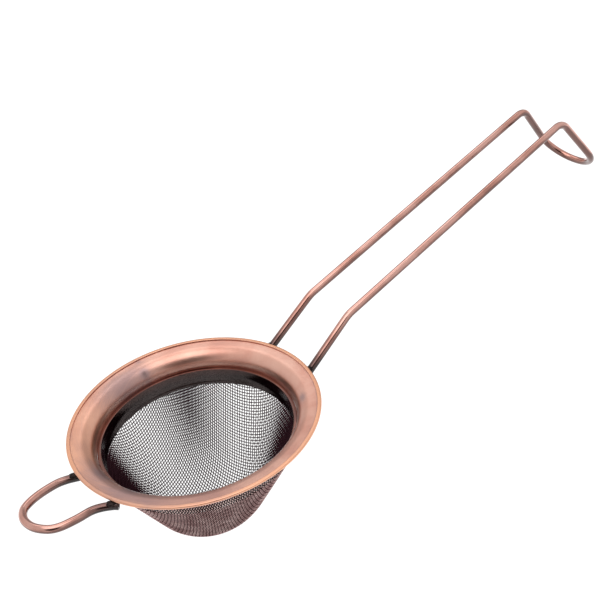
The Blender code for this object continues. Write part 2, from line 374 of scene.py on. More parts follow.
weld_finish = antique_metal(
    "burnt_weld",
    marks={"Across": 1800.0, "Along": 1500.0, "Patch": 500.0},
    layers={"Pale Copper": (0.20, 0.11, 0.09, 1), "Deep Copper": (0.14, 0.07, 0.06, 1),
            "Film": (0.06, 0.04, 0.036, 1), "Oxide": (0.012, 0.011, 0.011, 1),
            "Line Depth": 0.4, "Patch Depth": 0.8, "Gloss": 0.3, "Dullness": 0.15},
    bump=0.03 * MM)
print("materials:", [m.name for m in bpy.data.materials])

# %% [markdown]
# ## The rim
#
# The rim starts as a flat ring of sheet steel. It is spun over a former: a short neck
# that grips the cloth, a bell curve, and a shallow flange. Its outer edge is folded back
# on top, so that no raw edge can cut a hand. That fold is the bright band which runs all
# round. Just inside it runs a thin dark line of painted shadow in the crease, darkest on
# one side of the rim.
#
# A Screw modifier would do, but here the profile is turned in numpy, because each point
# also needs to know how sheltered it is and how much painted shade it takes. The sheet is
# a little uneven after spinning, so the flange is given a wave of a few hundredths of a
# millimetre: enough to bend the reflections, too little to see as a shape.

# %% The rim's profile
RIM_TURNS = 288
SHEET = 0.5 * MM
HEM_WIDTH = 1.5 * MM
FLANGE_SLOPE = 4.0            # degrees
BELL_RADIUS = 5.3 * MM
FLANGE_WAVES = [(3, 0.7, 1.0), (5, 2.1, 0.7), (8, 4.0, 0.5)]   # count, phase, share
WAVE_LIFT = 0.02 * MM
BRUSH_SWIRL = 4.9             # how far the rag's strokes lean from the rim's circles

rim_low, rim_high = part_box("rim_flare")
RIM_RADIUS = (rim_high.y - rim_low.y) / 2
NECK_RADIUS = 35.2 * MM
NECK_BOTTOM = rim_low.z


def rim_profile():
    """Cross-section of the rim as (radius, height) points, counter-clockwise from the neck."""
    slope = math.radians(FLANGE_SLOPE)
    hem_inside = RIM_RADIUS - HEM_WIDTH
    bell_start = NECK_RADIUS + BELL_RADIUS * (1 - math.sin(slope))
    bell_top = -SHEET - (hem_inside - bell_start) * math.tan(slope)
    centre = (NECK_RADIUS + BELL_RADIUS, bell_top - BELL_RADIUS * math.cos(slope))
    flange_end = (hem_inside + 0.15 * MM, -SHEET)
    top_side = arc(centre, BELL_RADIUS, 180, 90 + FLANGE_SLOPE, 30)
    under_side = arc(centre, BELL_RADIUS - SHEET, 90 + FLANGE_SLOPE, 180, 30)
    flange = np.linspace(top_side[-1], flange_end, 14)[1:]
    fold = SHEET / 2
    hem_start = arc((hem_inside + fold, -fold), fold, 250, 90, 8)
    crown_from, crown_to = hem_inside + fold, RIM_RADIUS - SHEET
    across = np.linspace(0, 1, 6)[1:-1]
    crown = np.stack([crown_from + (crown_to - crown_from) * across, np.zeros(4)], -1)
    edge = arc((RIM_RADIUS - SHEET, -SHEET), SHEET, 90, -90, 16)
    under_flange = np.linspace(edge[-1], under_side[0], 10)[1:-1]
    foot = SHEET / 2
    neck_foot = arc((NECK_RADIUS + foot, NECK_BOTTOM + foot), foot, 360, 180, 8)
    return np.concatenate([top_side, flange, hem_start, crown, edge, under_flange,
                           under_side, neck_foot])


profile = rim_profile()
print("rim profile:", len(profile), "points, neck bottom", round(NECK_BOTTOM / MM, 2), "mm")

# %% How sheltered each part of the rim is, and where shade is painted on it
OPEN_FACE = 0.02
BELL_SHELTER = 0.05
# The thin dark line in the crease is painted shadow, deeper on one side of the rim.
CREASE_SHADOW_WIDTH = 0.2 * MM
CREASE_SHADOW_LEAST = 0.1
CREASE_SHADOW_MOST = 0.5
CREASE_SHADOW_DARKEST = 280          # degrees round the rim
# A warmer, brighter copper laid round one side of the flange, added to the rolled edge's wear.
WARM_SIDE = 168               # degrees round the rim
WARM_SPREAD = 38
WARM_TONE = 0.7
BELL_FILM_WIDTH = 3.5 * MM
# Dark patches laid at given places on the rim: degrees round the rim, radius, spread round the
# rim, spread across it, depth
DARK_PATCHES = [(84, 36.6, 1.0, 0.9, 0.45), (83, 42.0, 1.2, 0.7, 0.25), (178, 37.4, 3.0, 0.9, 0.3),
           (-34, 38.0, 1.8, 0.9, 0.4), (200, 37.5, 2.0, 0.9, 0.35), (98, 38.0, 9.0, 3.2, 0.45),
           (160, 40.0, 14.0, 3.0, 0.15), (200, 40.5, 12.0, 3.5, 0.26),
           (238, 41.5, 24.0, 3.5, 0.2)]


def bell_shape(distance, width):
    """1 in the middle, falling off softly to both sides."""
    return np.exp(-0.5 * (distance / width) ** 2)


def rim_shelter_and_shade(points):
    """0 on open faces, 1 in the darkest corners; it also holds the painted shadow in the crease
    and the dark patches.
    """
    radius = np.hypot(points[:, 0], points[:, 1])
    angle = np.degrees(np.arctan2(points[:, 1], points[:, 0]))
    height = points[:, 2]
    hem_inside = RIM_RADIUS - HEM_WIDTH
    inner = np.clip((NECK_RADIUS + BELL_FILM_WIDTH - radius) / BELL_FILM_WIDTH, 0, 1)
    shelter_and_shade = OPEN_FACE + BELL_SHELTER * inner ** 1.5
    # Painted shadow in the crease inside the fold, deepest on one side.
    crease = bell_shape(radius - hem_inside - 0.05 * MM, CREASE_SHADOW_WIDTH)
    darkest = np.clip(np.cos(np.radians(angle - CREASE_SHADOW_DARKEST)), 0, 1) ** 2
    crease_shadow_depth = CREASE_SHADOW_LEAST + (CREASE_SHADOW_MOST - CREASE_SHADOW_LEAST) * darkest
    shelter_and_shade += crease_shadow_depth * crease * (height < -0.3 * MM)
    for degrees, at, size, reach, depth in DARK_PATCHES:
        away = (angle - degrees + 180) % 360 - 180
        spot = bell_shape(np.radians(away) * radius, size * MM)
        shelter_and_shade += depth * spot * bell_shape(radius - at * MM, reach * MM)
    return shelter_and_shade


def hem_wear_and_warm_tint(points):
    """1 on the rolled edge, which is rubbed most, and less on the flange's warmer side."""
    radius = np.hypot(points[:, 0], points[:, 1])
    from_hem = (radius - RIM_RADIUS + HEM_WIDTH) / (0.3 * MM)
    hem = np.clip(from_hem, 0, 1) * (points[:, 2] > -0.6 * MM)
    angle = np.degrees(np.arctan2(points[:, 1], points[:, 0]))
    warm = WARM_TONE * bell_shape((angle - WARM_SIDE + 180) % 360 - 180, WARM_SPREAD)
    return np.maximum(hem, warm)


def make_rim():
    angle = np.arange(RIM_TURNS) * 2 * math.pi / RIM_TURNS
    count = len(profile)
    radius, height = profile[:, 0], profile[:, 1]
    wave = sum(part * np.sin(waves * angle + phase) for waves, phase, part in FLANGE_WAVES)
    share = np.clip((radius - NECK_RADIUS - 2 * MM) / (4 * MM), 0, 1)
    share = share * np.clip((RIM_RADIUS - HEM_WIDTH - radius) / (1 * MM), 0, 1)
    lift = WAVE_LIFT * wave[:, None] * share[None, :]
    points = np.stack([np.cos(angle)[:, None] * radius, np.sin(angle)[:, None] * radius,
                       height[None, :] + lift], -1).reshape(-1, 3)
    faces = ring_faces(RIM_TURNS, count, True)[:, ::-1]
    swirl = angle[:, None] + BRUSH_SWIRL * (radius - NECK_RADIUS)[None, :] / RIM_RADIUS
    lay = np.stack([np.cos(swirl) * RIM_RADIUS, np.sin(swirl) * RIM_RADIUS,
                    np.broadcast_to(radius, swirl.shape)], -1).reshape(-1, 3)
    rim = mesh_object("flared_rim", points, faces.tolist(),
                      {"lay": lay, "shelter_and_shade": rim_shelter_and_shade(points), "wear_and_warm_tint": hem_wear_and_warm_tint(points)})
    rim.data.materials.append(rim_finish)
    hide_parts("rim_flare")
    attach(rim, "root")
    return rim


rim = make_rim()
print("rim:", len(rim.data.polygons), "faces")

# %% [markdown]
# ## The collar
#
# A thin ring presses the cloth's edge against the inside of the neck. No rag reaches in
# there, so it keeps the whole black finish and shines like lacquer; only the lip on top
# shows a thin line of dark copper. It is turned the same way as the rim, and it follows
# the cone inwards at its foot.

# %% The collar
COLLAR_WALL = 0.4 * MM
CONE_HALF_ANGLE = math.radians(31.2)
collar_low, collar_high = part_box("inner_collar")
COLLAR_TOP = collar_high.z
COLLAR_BOTTOM = collar_low.z
COLLAR_OUTER = 34.2 * MM
COLLAR_TAPER = 0.6 * MM       # how far the foot follows the cone inwards
COLLAR_BEND = COLLAR_BOTTOM + 0.9 * MM
COLLAR_MIDDLE = -10.0 * MM
LIP_EDGE = NECK_RADIUS - 0.05 * MM
LIP_CORNER = 0.25 * MM
UNRUBBED = 0.85
LIP_SHELTER = 0.05


def make_collar():
    inner = COLLAR_OUTER - COLLAR_WALL
    half = COLLAR_WALL / 2
    shoulder = arc((inner + LIP_CORNER, COLLAR_TOP - LIP_CORNER), LIP_CORNER, 180, 90, 6)
    lip_round = arc((LIP_EDGE - half, COLLAR_TOP - half), half, 90, -90, 6)
    foot = arc((COLLAR_OUTER - COLLAR_TAPER - half, COLLAR_BOTTOM + half), half, 0, -180, 6)
    outer_heights = (COLLAR_TOP - COLLAR_WALL, COLLAR_MIDDLE, COLLAR_BEND)
    outer_wall = np.array([(COLLAR_OUTER, height) for height in outer_heights])
    inner_wall = np.array([(inner, height) for height in (COLLAR_BEND, COLLAR_MIDDLE)])
    section = np.concatenate([shoulder, lip_round, outer_wall, foot, inner_wall])
    count = len(section)
    angle = np.arange(RIM_TURNS) * 2 * math.pi / RIM_TURNS
    points = np.stack([np.cos(angle)[:, None] * section[:, 0],
                       np.sin(angle)[:, None] * section[:, 0],
                       np.broadcast_to(section[:, 1], (RIM_TURNS, count))], -1).reshape(-1, 3)
    faces = ring_faces(RIM_TURNS, count, True)[:, ::-1]
    radius = np.hypot(points[:, 0], points[:, 1])
    lay = np.stack([points[:, 2] * 3, points[:, 2], radius * 0.2], -1)
    lip = np.clip((points[:, 2] - COLLAR_TOP + 0.5 * MM) / (0.4 * MM), 0, 1)
    collar = mesh_object("cloth_collar", points, faces.tolist(),
                         {"lay": lay, "shelter_and_shade": UNRUBBED - (UNRUBBED - LIP_SHELTER) * lip})
    collar.data.materials.append(collar_finish)
    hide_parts("inner_collar")
    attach(collar, "root")
    return collar


collar = make_collar()
print("collar:", len(collar.data.polygons), "faces")

# %% [markdown]
# ## The surface that the cloth lies on
#
# The bowl is pressed from flat woven wire: a cone with a round tip, leaning a little
# towards the rest loop. To lay wires on it, the surface needs an address for each point.
# Here the address is a flat pair (x, y): its direction is the compass direction from the
# tip, and its length is how far a wire would run up the side. Unlike an angle and a
# height, this pair has no bad spot at the tip.

# %% The bowl's middle surface
TIP_RADIUS = 24.6 * MM
TIP_CENTRE = -22.1 * MM
CLOTH_RADIUS = 34.7 * MM
CLOTH_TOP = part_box("mesh_bowl")[1].z
LEAN_FROM = -13.7 * MM
LEAN = 0.0625

TIP_RUN = TIP_RADIUS * (math.pi / 2 - CONE_HALF_ANGLE)
CONE_RADIUS = TIP_RADIUS * math.cos(CONE_HALF_ANGLE)
CONE_HEIGHT = TIP_CENTRE - TIP_RADIUS * math.sin(CONE_HALF_ANGLE)
CONE_RUN = (CLOTH_RADIUS - CONE_RADIUS) / math.sin(CONE_HALF_ANGLE)
NECK_FROM = CONE_HEIGHT + CONE_RUN * math.cos(CONE_HALF_ANGLE)
CLOTH_RUN = TIP_RUN + CONE_RUN + CLOTH_TOP - NECK_FROM


def bowl_surface(address):
    """Position and outward normal, before the lean, at flat addresses on the bowl."""
    run = np.hypot(address[..., 0], address[..., 1]) + 1e-12
    along = address / run[..., None]
    turn = run / TIP_RADIUS
    up_cone = run - TIP_RUN
    in_tip, in_cone = run < TIP_RUN, run < TIP_RUN + CONE_RUN
    sin_a, cos_a = math.sin(CONE_HALF_ANGLE), math.cos(CONE_HALF_ANGLE)
    radius = np.where(in_tip, TIP_RADIUS * np.sin(turn),
                      np.where(in_cone, CONE_RADIUS + up_cone * sin_a, CLOTH_RADIUS))
    height = np.where(in_tip, TIP_CENTRE - TIP_RADIUS * np.cos(turn),
                      np.where(in_cone, CONE_HEIGHT + up_cone * cos_a,
                               NECK_FROM + up_cone - CONE_RUN))
    outward = np.where(in_tip, np.sin(turn), np.where(in_cone, cos_a, 1.0))
    upward = np.where(in_tip, -np.cos(turn), np.where(in_cone, -sin_a, 0.0))
    place = np.concatenate([along * radius[..., None], height[..., None]], -1)
    normal = np.concatenate([along * outward[..., None], upward[..., None]], -1)
    return place, normal


def lean_over(points):
    """The lower bowl moves sideways in step with its depth."""
    moved = points.copy()
    moved[..., 0] += np.minimum(0.0, points[..., 2] - LEAN_FROM) * LEAN
    return moved


print("wire run from tip to edge:", round(CLOTH_RUN / MM, 1), "mm")

# %% [markdown]
# ## Draping a net
#
# Woven wire can't stretch. When a flat piece is pressed into a cone, its square holes
# turn into diamonds instead: the wires keep their spacing and only the angle between
# them changes. Tailors and boat builders call this a fisherman's net, and it is why the
# holes look square in one part of the bowl and slanted in another.
#
# So the net is laid the same way. Two wires are laid first, straight over the surface
# from a point near the tip. After that, each knot has to be one pitch from two knots
# that are already known, which fixes its place. Newton's method finds it, for a whole
# diagonal of knots at a time.

# %% Solve for knots on the surface
WARP_PITCH = 1.045 * MM
WEFT_PITCH = 1.028 * MM
FIRST_KNOT = np.array((-1.0, -4.74)) * MM
WARP_DIRECTION = math.radians(22.9)
CROSSING = math.radians(78.4)
PROBE = 0.0001 * MM           # step for the slopes, and largest error that is let through
SOLVER_STEPS = 12
LARGEST_STEP = 1.5 * MM


def settle(equations, start):
    """Newton's method for two equations in each knot's two coordinates."""
    at = start
    for _ in range(SOLVER_STEPS):
        value = equations(at)
        by_x = (equations(at + (PROBE, 0)) - value) / PROBE
        by_y = (equations(at + (0, PROBE)) - value) / PROBE
        scale = by_x[..., 0] * by_y[..., 1] - by_y[..., 0] * by_x[..., 1]
        scale = np.where(np.abs(scale) < 1e-9, 1e-9, scale)
        move_x = (by_y[..., 0] * value[..., 1] - value[..., 0] * by_y[..., 1]) / scale
        move_y = (value[..., 0] * by_x[..., 1] - by_x[..., 0] * value[..., 1]) / scale
        move = np.stack([move_x, move_y], -1)
        size = np.linalg.norm(move, axis=-1, keepdims=True) + 1e-15
        at = at + move * np.minimum(1.0, LARGEST_STEP / size)
    return at


def distance(points, to):
    return np.linalg.norm(points - to, axis=-1)


def first_wire(direction, pitch, count):
    """Knots of a wire laid straight over the surface, one pitch apart."""
    heading = np.array((math.cos(direction), math.sin(direction)))
    knots = [FIRST_KNOT]
    here, normal = bowl_surface(FIRST_KNOT)
    ahead = unit(bowl_surface(FIRST_KNOT + heading * 0.001 * MM)[0] - here)
    step = heading * pitch
    for _ in range(count):
        sideways = unit(np.cross(normal, ahead))
        start = here

        def straight_on(address):
            run = bowl_surface(address)[0] - start
            return np.stack([np.linalg.norm(run, axis=-1) - pitch, run @ sideways], -1)

        knots.append(settle(straight_on, knots[-1] + step))
        step = knots[-1] - knots[-2]
        before = here
        here, normal = bowl_surface(knots[-1])
        ahead = here - before
        ahead = unit(ahead - normal * (ahead @ normal))
    return np.array(knots)


# %% Lay the whole net
SPARE_RUN = 1.15      # the net goes a little past the cloth's edge before it is cut
FLATTEST_HOLE = 0.2   # a knot this close to the one diagonally behind it is dropped


def lay_net():
    """Flat addresses of every knot; a knot that falls off the bowl is left as nan."""
    warps = int(CLOTH_RUN * SPARE_RUN / WARP_PITCH) + 1
    wefts = int(CLOTH_RUN * SPARE_RUN / WEFT_PITCH) + 1
    net = np.full((2 * warps + 1, 2 * wefts + 1, 2), np.nan)
    for way in (1, -1):
        back = 0.0 if way == 1 else math.pi
        rows = warps + way * np.arange(warps + 1)
        net[rows, wefts] = first_wire(WARP_DIRECTION + back, WARP_PITCH, warps)
        columns = wefts + way * np.arange(wefts + 1)
        net[warps, columns] = first_wire(WARP_DIRECTION + CROSSING + back, WEFT_PITCH, wefts)
    for diagonal in range(2, warps + wefts + 1):
        i = np.arange(max(1, diagonal - wefts), min(warps, diagonal - 1) + 1)
        j = diagonal - i
        row = np.concatenate([warps + s * i for s in (1, 1, -1, -1)])
        column = np.concatenate([wefts + s * j for s in (1, -1, 1, -1)])
        row_back = row - np.sign(row - warps)
        column_back = column - np.sign(column - wefts)
        beside, below = net[row_back, column], net[row, column_back]
        behind = net[row_back, column_back]
        known = ~np.isnan(beside[:, 0] + below[:, 0])
        if not known.any():
            break
        beside, below, behind = beside[known], below[known], behind[known]
        place_a, place_b = bowl_surface(beside)[0], bowl_surface(below)[0]

        def both_pitches(address):
            place = bowl_surface(address)[0]
            return np.stack([distance(place, place_a) - WARP_PITCH,
                             distance(place, place_b) - WEFT_PITCH], -1)

        knots = settle(both_pitches, beside + below - behind)
        lost = np.abs(both_pitches(knots)).max(-1) > PROBE
        lost |= np.hypot(knots[:, 0], knots[:, 1]) > CLOTH_RUN * SPARE_RUN
        lost |= np.linalg.norm(knots - behind, axis=1) < FLATTEST_HOLE * WARP_PITCH
        knots[lost] = np.nan
        net[row[known], column[known]] = knots
    return net


net = lay_net()
print("knots in the net:", int((~np.isnan(net[..., 0])).sum()))

# %% [markdown]
# ## Weaving the cloth
#
# In a plain weave each wire goes over one neighbour and under the next, so its middle
# line is a wave: one pitch up, one pitch down. The two sets of wires have opposite
# waves, and where they cross they touch without cutting each other, because the wave is
# about half a wire high each way. The cloth is cut off level, where the neck and the
# collar hide its edge.
#
# An image of a mesh would be far cheaper, but only real wires have holes that show the
# floor through one wall, and the slow bands of shade where two walls lie behind each
# other.

# %% Weave the wires
CLOTH_WIRE = 0.166 * MM       # radius of one cloth wire
WIRE_SIDES = 6
STEPS_PER_PITCH = 4
WAVE = 1.02 * CLOTH_WIRE
RUBBED_TURN = (-0.05, 0.35)   # a wire is rubbed where it faces out: -1 is in, 1 is out
RUBBED_CROWN = (-0.3, 0.6)    # and where its wave stands out: -1 is in, 1 is out


def ramp(value, low, high):
    return np.clip((value - low) / (high - low), 0, 1)


def trimmed_run(line):
    """First and last place, in knots along a wire, where it is still on the cloth."""
    run = np.hypot(line[:, 0], line[:, 1])
    inside = np.flatnonzero(run < CLOTH_RUN)
    if len(inside) < 3:
        return None
    first, last = inside[0], inside[-1]
    start, end = float(first), float(last)
    if first > 0 and not np.isnan(run[first - 1]):
        start -= (CLOTH_RUN - run[first]) / (run[first - 1] - run[first])
    if last + 1 < len(run) and not np.isnan(run[last + 1]):
        end += (CLOTH_RUN - run[last]) / (run[last + 1] - run[last])
    return start, end


def weave_wire(line, side):
    """One wavy wire along a line of knots: its points, faces, caps and attributes."""
    ends = trimmed_run(line)
    if ends is None:
        return None
    knots = np.flatnonzero(~np.isnan(line[:, 0]))
    first, last = np.array(ends) * STEPS_PER_PITCH
    inner = np.arange(math.ceil(first), math.floor(last) + 1)
    at = np.unique(np.concatenate([[ends[0]], inner / STEPS_PER_PITCH, [ends[1]]]))
    address = np.stack([np.interp(at, knots, line[knots, k]) for k in (0, 1)], -1)
    place, normal = bowl_surface(address)
    wave = side * WAVE * np.cos(math.pi * at)
    path = lean_over(place + normal * wave[:, None])
    points, quads, caps, angle = sweep(path, normal, CLOTH_WIRE, WIRE_SIDES)
    outward = np.tile(np.sin(angle), len(path))
    crown = np.repeat(wave / WAVE, WIRE_SIDES)
    rubbed = ramp(outward, *RUBBED_TURN) * ramp(crown, *RUBBED_CROWN)
    lay = np.stack([np.tile(np.cos(angle), len(path)) * CLOTH_WIRE,
                    outward * CLOTH_WIRE, np.repeat(path_length(path), WIRE_SIDES)], -1)
    return points, quads, caps, lay, 1 - rubbed


def weave_piece(name, lines):
    """Joins the wires of one part of the cloth into one object."""
    points, faces, lays, shelters, start = [], [], [], [], 0
    for line, side in lines:
        wire = weave_wire(line, side)
        if wire is None:
            continue
        points.append(wire[0])
        faces += (wire[1] + start).tolist()
        faces += [[start + k for k in cap] for cap in wire[2]]
        lays.append(wire[3])
        shelters.append(wire[4])
        start += len(wire[0])
    piece = mesh_object(name, np.concatenate(points), faces,
                        {"lay": np.concatenate(lays), "shelter_and_shade": np.concatenate(shelters)})
    piece.data.materials.append(cloth_finish)
    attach(piece, "root")
    return piece


def cloth_lines(net, across):
    """Each wire of one set, with the side of the cloth on which its wave starts."""
    count = net.shape[1] if across else net.shape[0]
    for k in range(count):
        line = net[:, k] if across else net[k]
        side = (1 if k % 2 else -1) * (1 if across else -1)
        yield line, side


PIECES_PER_SET = 3
for word, across in (("warp", True), ("weft", False)):
    wires = [(line, side) for line, side in cloth_lines(net, across) if trimmed_run(line)]
    cuts = np.linspace(0, len(wires), PIECES_PER_SET + 1).astype(int)
    for number, (first, last) in enumerate(zip(cuts, cuts[1:]), 1):
        weave_piece(f"cloth_{word}_{number}", wires[first:last])
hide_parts("mesh_bowl")

# %% [markdown]
# ## The handle
#
# One long wire makes both legs and the hook. It is bent cold over pegs: a gentle bend
# near the rim, a tight one at the top, and a wide U that hangs the strainer on a rail.
# Straight runs joined by arcs are exactly what a bending jig makes, so the path is
# built from the corners and a radius at each of them.

# %% The handle's path
WIRE_RADIUS = 1.45 * MM
HANDLE_SIDES = 32
RISER_SLOPE = math.radians(29.5)
LEG_SPREAD = 11.1 * MM
INNER_END = 36.8 * MM
LOW_BEND = Vector((64.9, 10.4, 0.0)) * MM
TOP_BEND = Vector((185.1, 9.8, 33.4)) * MM
HOOK_DROP = math.radians(55.7)
HOOK_LENGTH = 35.0 * MM
HOOK_SPREAD = 12.7 * MM
BEND_RADII = [12.0 * MM, 5.7 * MM, 0.9 * HOOK_SPREAD]
WIRE_CLEARANCE = SHEET + 0.3 * MM + WIRE_RADIUS
EDGE_CENTRE = RIM_RADIUS - SHEET
LONGEST_STEP = 2 * MM


def rounded_path(corners, radii, degrees_per_point=3.0):
    """A polyline through the corners, with each inner corner turned into an arc."""
    points = [corners[0]]
    for before, corner, after, radius in zip(corners, corners[1:], corners[2:], radii):
        to_before = (before - corner).normalized()
        to_after = (after - corner).normalized()
        opening = to_before.angle(to_after)
        turn = math.pi - opening
        reach = radius / math.tan(opening / 2)
        middle = (to_before + to_after).normalized()
        centre = corner + middle * (radius / math.sin(opening / 2))
        first = corner + to_before * reach - centre
        last = corner + to_after * reach - centre
        count = max(3, math.ceil(math.degrees(turn) / degrees_per_point))
        for i in range(count + 1):
            share = i / count
            spoke = first * math.sin((1 - share) * turn) + last * math.sin(share * turn)
            points.append(centre + spoke / math.sin(turn))
    points.append(corners[-1])
    return points


def evenly_spaced(points, step):
    """The same path with extra points, so that long straights carry fine detail too."""
    path = np.array([tuple(p) for p in points])
    filled = [path[:1]]
    for a, b in zip(path, path[1:]):
        count = max(1, math.ceil(np.linalg.norm(b - a) / step))
        filled.append(a + (b - a) * (np.arange(1, count + 1) / count)[:, None])
    return np.concatenate(filled)


def riser_height(x):
    at_rim = math.sqrt(EDGE_CENTRE ** 2 - LEG_SPREAD ** 2)
    under_edge = -SHEET - WIRE_CLEARANCE / math.cos(RISER_SLOPE)
    return under_edge + (x - at_rim) * math.tan(RISER_SLOPE)


def handle_path():
    reach = HOOK_LENGTH * Vector((math.cos(HOOK_DROP), 0.0, -math.sin(HOOK_DROP)))
    half = [Vector((INNER_END, LEG_SPREAD, riser_height(INNER_END)))]
    half.append(Vector((LOW_BEND.x, LOW_BEND.y, riser_height(LOW_BEND.x))))
    half.append(TOP_BEND)
    half.append(Vector((TOP_BEND.x + reach.x, HOOK_SPREAD, TOP_BEND.z + reach.z)))
    mirrored = [Vector((p.x, -p.y, p.z)) for p in reversed(half)]
    corners = half + mirrored
    return evenly_spaced(rounded_path(corners, BEND_RADII + BEND_RADII[::-1]), LONGEST_STEP)


path = handle_path()
print("handle wire:", round(path_length(path)[-1] / MM), "mm long")

# %% [markdown]
# ## Wires with a dark underside
#
# The top of a wire stays bright. Its sides and the face that looks down are darker: partly
# where the rag missed them, partly painted shade. The first few millimetres near the rim
# are black: burnt by the weld, with painted shadow under the rim's edge. Both are worked
# out for each vertex here, from which way it faces and how far it is from the rim's edge.

# %% Make the handle and the rest loop
# The black near the rim is partly the weld's burn, partly painted shadow under the rim's edge.
BURN_AND_SHADOW_LENGTH = 5.0 * MM
BURN_AND_SHADOW_DEPTH = 0.8
RUBBED_TOP = 0.06
# A wire's darker sides and underside are partly the unrubbed film, partly painted shade.
UNRUBBED_AND_SHADED_SIDE = 0.52
RAG_REACH = 0.6               # how far down a wire's side the rag rubs: 1 is its top, 0 its side


def make_wire(name, path, node):
    ups = np.tile((0.0, 0.0, 1.0), (len(path), 1))
    points, quads, caps, angle = sweep(path, ups, WIRE_RADIUS, HANDLE_SIDES)
    run = np.repeat(path_length(path), HANDLE_SIDES)
    across = np.tile(angle, len(path))
    lay = np.stack([np.cos(across) * WIRE_RADIUS, np.sin(across) * WIRE_RADIUS, run], -1)
    facing_up = np.sin(across)
    beyond_rim = np.hypot(points[:, 0], points[:, 1]) - RIM_RADIUS
    # Black near the rim: the weld's burn with painted shadow under the rim's edge.
    burn_and_shadow = np.exp(-np.clip(beyond_rim, 0, None) / BURN_AND_SHADOW_LENGTH)
    # Painted shade on the sides and the face that looks down, added to the unrubbed film.
    missed_and_shaded = np.clip((RAG_REACH - facing_up) / RAG_REACH, 0, 1)
    shelter_and_shade = RUBBED_TOP + UNRUBBED_AND_SHADED_SIDE * missed_and_shaded + BURN_AND_SHADOW_DEPTH * burn_and_shadow
    wire = mesh_object(name, points, quads.tolist() + caps,
                       {"lay": lay, "shelter_and_shade": np.clip(shelter_and_shade, 0, 1)})
    wire.data.materials.append(wire_finish)
    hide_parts(node)
    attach(wire, "root")
    return wire


handle = make_wire("bent_handle", path, "handle_wire")

LOOP_PATH = [(-41.8, 7.7), (-43.6, 8.6), (-46.6, 9.8), (-50.1, 10.4), (-55.6, 9.9),
             (-60.5, 8.6), (-64.4, 6.3), (-66.6, 2.0), (-66.3, -3.0), (-63.7, -7.2),
             (-60.2, -9.2), (-54.5, -9.8), (-49.0, -9.7), (-45.6, -10.7),
             (-42.5, -12.6), (-41.2, -13.9)]
LOOP_RISE = 0.105


def loop_height(x):
    return -SHEET - WIRE_CLEARANCE - (x + EDGE_CENTRE) * LOOP_RISE


def smooth_path(corners, per_span):
    """A Catmull-Rom curve through the corners."""
    padded = [corners[0] * 2 - corners[1], *corners, corners[-1] * 2 - corners[-2]]
    points = []
    for a, b, c, d in zip(padded, padded[1:], padded[2:], padded[3:]):
        for i in range(per_span):
            t = i / per_span
            points.append(0.5 * (2 * b + (c - a) * t + (2 * a - 5 * b + 4 * c - d) * t ** 2
                                 + (3 * b - a - 3 * c + d) * t ** 3))
    points.append(corners[-1])
    return points


def loop_path():
    corners = [Vector((x * MM, y * MM, loop_height(x * MM))) for x, y in LOOP_PATH]
    return np.array([tuple(p) for p in smooth_path(corners, 12)])


loop = make_wire("glass_rest_loop", loop_path(), "rest_loop")
print("wires:", len(handle.data.polygons), len(loop.data.polygons), "faces")

# %% [markdown]
# ## The welds
#
# Four spots of weld hold the wires under the rim. Each one is a small puddle of metal
# that froze in the corner between the wire and the rolled edge. A smooth ball squashed
# along the wire has the right size; pushing its surface in and out a little gives the
# uneven look of metal that flowed.

# %% Make the welds
BEAD_SIZE = np.array((1.9, 1.35, 0.95)) * MM      # along the wire, across it, and up
BEAD_LIFT = 0.95 * MM
BEAD_OUT = 0.6 * MM
RIPPLE_DEPTH = 0.06
BURNT = 0.85


def make_weld(name, crossing, along, node):
    """A lump of weld in the corner between wire and rolled edge; no two have the same ripples."""
    bpy.ops.mesh.primitive_ico_sphere_add(subdivisions=5, radius=1.0)
    bead = bpy.context.active_object
    bead.name = name
    mesh = bead.data
    flat = np.zeros(len(mesh.vertices) * 3)
    mesh.vertices.foreach_get("co", flat)
    ball = flat.reshape(-1, 3)
    seed = crossing.y * 900 + crossing.x * 300
    ripple = (np.sin(ball[:, 0] * 5 + seed) * np.sin(ball[:, 1] * 6 + 2 * seed)
              + 0.5 * np.sin(ball[:, 2] * 9 + ball[:, 0] * 7))
    ball = ball * (1 + RIPPLE_DEPTH * ripple)[:, None] * BEAD_SIZE
    heading = math.atan2(along.y, along.x)
    turned = Matrix.Rotation(heading, 3, "Z") @ Matrix.Rotation(
        -math.atan2(along.z, math.hypot(along.x, along.y)), 3, "Y")
    points = ball @ np.array(turned).T + np.array(crossing + Vector((0, 0, BEAD_LIFT)))
    mesh.vertices.foreach_set("co", points.ravel())
    lay = mesh.attributes.new("lay", "FLOAT_VECTOR", "POINT")
    lay.data.foreach_set("vector", points.ravel())
    shelter_and_shade = mesh.attributes.new("shelter_and_shade", "FLOAT", "POINT")
    shelter_and_shade.data.foreach_set("value", np.full(len(points), BURNT))
    mesh.shade_smooth()
    mesh.materials.append(weld_finish)
    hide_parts(node)
    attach(bead, "root")
    return bead


leg_x = math.sqrt(EDGE_CENTRE ** 2 - LEG_SPREAD ** 2) + BEAD_OUT
welds = []
for side, word in ((1, "left"), (-1, "right")):
    at_leg = Vector((leg_x, side * LEG_SPREAD, riser_height(leg_x)))
    leg_run = Vector((math.cos(RISER_SLOPE), 0, math.sin(RISER_SLOPE)))
    welds.append(make_weld("handle_weld_" + word, at_leg, leg_run, "weld_handle_" + word))
for at, after, word in ((1, 2, "left"), (-2, -3, "right")):
    start = Vector(LOOP_PATH[at]) * MM
    loop_run = (Vector(LOOP_PATH[after]) * MM - start).normalized()
    start += BEAD_OUT / 2 * loop_run
    at_loop = Vector((start.x, start.y, loop_height(start.x)))
    loop_run = Vector((loop_run.x, loop_run.y, 0.09))
    welds.append(make_weld("loop_weld_" + word, at_loop, loop_run, "weld_loop_" + word))
print("welds:", [w.name for w in welds])

